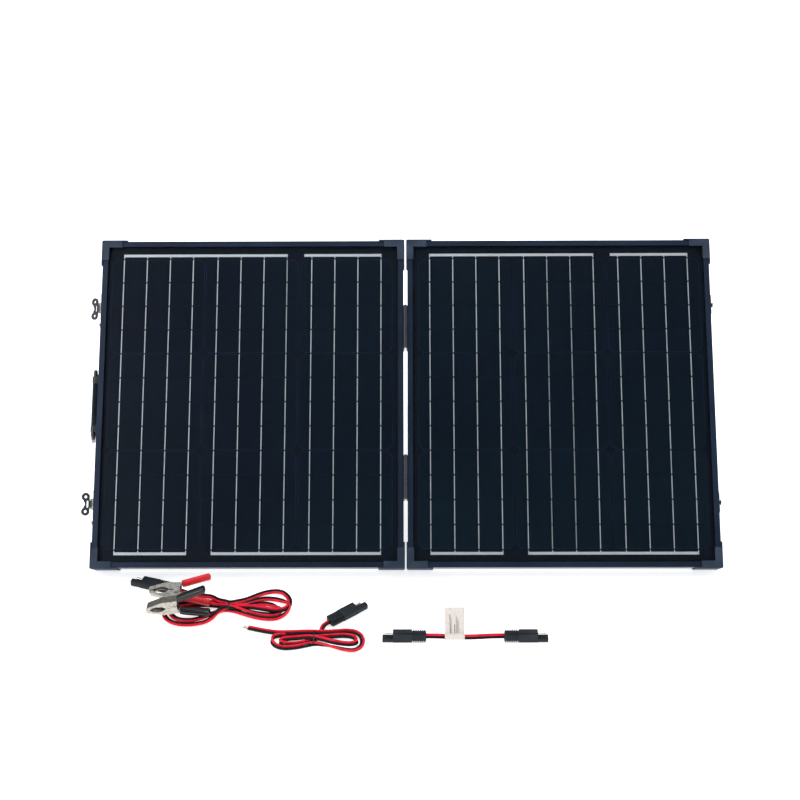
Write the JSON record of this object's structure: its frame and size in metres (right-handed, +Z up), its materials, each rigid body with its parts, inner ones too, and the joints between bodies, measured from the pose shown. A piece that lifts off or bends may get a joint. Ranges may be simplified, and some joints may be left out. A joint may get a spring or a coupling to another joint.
{
  "type": "folding solar charging kit",
  "caption": "Folding framed solar panels on rear legs with latches, side handle, rear charge controller, and loose battery-clamp, bare-wire and adapter leads.",
  "frame": {"origin": "on the floor under the middle of the standing panels, with the loose leads left out of the measure", "axes": "+X to the right along the open panels, +Y away from the glass side, +Z up from the floor"},
  "size_m": [1.0544, 0.6832, 0.4207],
  "materials": {
    "frame_aluminium": "satin dark blue-grey anodised",
    "cap_plastic": "matte, lightly textured",
    "cover_glass": "clear, low reflection",
    "cell_silicon": "smooth, very dark blue",
    "tinned_copper": "bright tinned",
    "white_sheet": "satin",
    "black_plastic": "fine textured",
    "screen_plastic": "glossy",
    "button_plastic": "satin",
    "zinc_steel": "bright zinc plated",
    "black_steel": "satin black",
    "leg_metal": "satin dark",
    "foot_rubber": "matte",
    "black_cord": "satin",
    "red_cord": "satin",
    "red_grip": "glossy moulded",
    "black_grip": "glossy moulded",
    "copper": "bright strands",
    "tag_paper": "matte"
  },
  "bodies": {
    "left_half": {"left_frame_rails": "frame_aluminium", "left_corner_caps": "cap_plastic", "left_glass": "cover_glass", "left_cells": "cell_silicon", "left_ribbons": "tinned_copper", "left_backsheet": "white_sheet", "left_junction_box": "black_plastic", "left_hinge_leaves": "black_steel", "left_leg_pivots": "zinc_steel", "hinge_pins": "zinc_steel", "controller_case": "black_plastic", "controller_screen": "screen_plastic", "panel_wires": "black_cord", "latch_plates": "black_steel", "handle_brackets": "black_steel"},
    "right_half": {"right_frame_rails": "frame_aluminium", "right_corner_caps": "cap_plastic", "right_glass": "cover_glass", "right_cells": "cell_silicon", "right_ribbons": "tinned_copper", "right_backsheet": "white_sheet", "right_junction_box": "black_plastic", "right_hinge_leaves": "black_steel", "right_leg_pivots": "zinc_steel", "latch_keepers": "black_steel"},
    "left_leg": {"left_leg_frame": "leg_metal", "left_leg_feet": "foot_rubber"},
    "right_leg": {"right_leg_frame": "leg_metal", "right_leg_feet": "foot_rubber"},
    "handle": {"handle_bail": "black_steel", "handle_grip": "black_plastic"},
    "lower_catch": {"lower_latch_catch": "zinc_steel"},
    "upper_catch": {"upper_latch_catch": "zinc_steel"},
    "lower_wing": {"lower_latch_wing": "black_steel"},
    "upper_wing": {"upper_latch_wing": "black_steel"},
    "button": {"controller_button": "button_plastic"},
    "clamp_lead": {"clamp_lead_plug": "black_plastic", "clamp_lead_contacts": "tinned_copper", "clamp_lead_cord": "black_cord", "clamp_lead_hank": "red_cord", "clamp_lead_tie": "black_plastic", "red_branch_wire": "red_cord", "black_branch_wire": "black_cord", "red_clamp_lower_grip": "red_grip", "black_clamp_lower_grip": "black_grip", "clamp_lower_jaws": "zinc_steel", "clamp_pins": "zinc_steel"},
    "red_clamp_jaw": {"red_clamp_upper_jaw": "zinc_steel", "red_clamp_upper_grip": "red_grip"},
    "black_clamp_jaw": {"black_clamp_upper_jaw": "zinc_steel", "black_clamp_upper_grip": "black_grip"},
    "wire_lead": {"wire_lead_plug": "black_plastic", "wire_lead_contacts": "tinned_copper", "wire_lead_cord": "black_cord", "wire_lead_hank": "red_cord", "wire_lead_tie": "black_plastic"},
    "adapter_lead": {"adapter_plugs": "black_plastic", "adapter_contacts": "tinned_copper", "adapter_cord": "black_cord", "adapter_tag": "tag_paper"}
  },
  "joints": [
    {"name": "fold_hinge", "type": "hinge", "parent": "left_half", "child": "right_half", "pos_m": [0.0096, -0.06192, 0.22429], "axis": [0, -0.7071, -0.7071], "range_deg": [0, 180]},
    {"name": "left_leg_pivot", "type": "hinge", "parent": "left_half", "child": "left_leg", "pos_m": [-0.2487, 0.07894, 0.32951], "axis": [-1, 0, 0], "range_deg": [0, 72.9]},
    {"name": "right_leg_pivot", "type": "hinge", "parent": "right_half", "child": "right_leg", "pos_m": [0.2679, 0.07894, 0.32951], "axis": [-1, 0, 0], "range_deg": [0, 72.9]},
    {"name": "handle_swing", "type": "hinge", "parent": "left_half", "child": "handle", "pos_m": [-0.5121, -0.04905, 0.2086], "axis": [0, 0.7071, 0.7071], "range_deg": [-12, 83]},
    {"name": "lower_catch_turn", "type": "hinge", "parent": "left_half", "child": "lower_catch", "pos_m": [-0.5037, -0.16784, 0.0898], "axis": [-1, 0, 0], "range_deg": [0, 100]},
    {"name": "lower_wing_fold", "type": "hinge", "parent": "lower_catch", "child": "lower_wing", "pos_m": [-0.5105, -0.16784, 0.0898], "axis": [0, -0.7071, -0.7071], "range_deg": [0, 90]},
    {"name": "upper_catch_turn", "type": "hinge", "parent": "left_half", "child": "upper_catch", "pos_m": [-0.5037, 0.06833, 0.32598], "axis": [-1, 0, 0], "range_deg": [0, 100]},
    {"name": "upper_wing_fold", "type": "hinge", "parent": "upper_catch", "child": "upper_wing", "pos_m": [-0.5105, 0.06833, 0.32598], "axis": [0, -0.7071, -0.7071], "range_deg": [-30, 60]},
    {"name": "button_press", "type": "slide", "parent": "left_half", "child": "button", "axis": [0, -0.7071, 0.7071], "range_m": [0, 0.0012], "stiffness_N_per_m": 400, "springref_m": -0.0005},
    {"name": "clamp_lead_lift", "type": "slide", "parent": "left_half", "child": "clamp_lead", "axis": [0, -0.7071, 0.7071], "range_m": [0, 0.45]},
    {"name": "wire_lead_lift", "type": "slide", "parent": "left_half", "child": "wire_lead", "axis": [0, 0, 1], "range_m": [0, 0.45]},
    {"name": "adapter_lift", "type": "slide", "parent": "left_half", "child": "adapter_lead", "axis": [0, 0, 1], "range_m": [0, 0.45]},
    {"name": "red_clamp_pivot", "type": "hinge", "parent": "clamp_lead", "child": "red_clamp_jaw", "pos_m": [-0.35653, -0.30561, 0.02287], "axis": [-0.0582, 0.4971, -0.8657], "range_deg": [0, 24], "stiffness_Nm_per_rad": 0.6, "springref_deg": -34.38},
    {"name": "black_clamp_pivot", "type": "hinge", "parent": "clamp_lead", "child": "black_clamp_jaw", "pos_m": [-0.35577, -0.3415, 0.02523], "axis": [-0.0306, 0.9845, -0.1724], "range_deg": [0, 24], "stiffness_Nm_per_rad": 0.6, "springref_deg": -34.38}
  ]
}
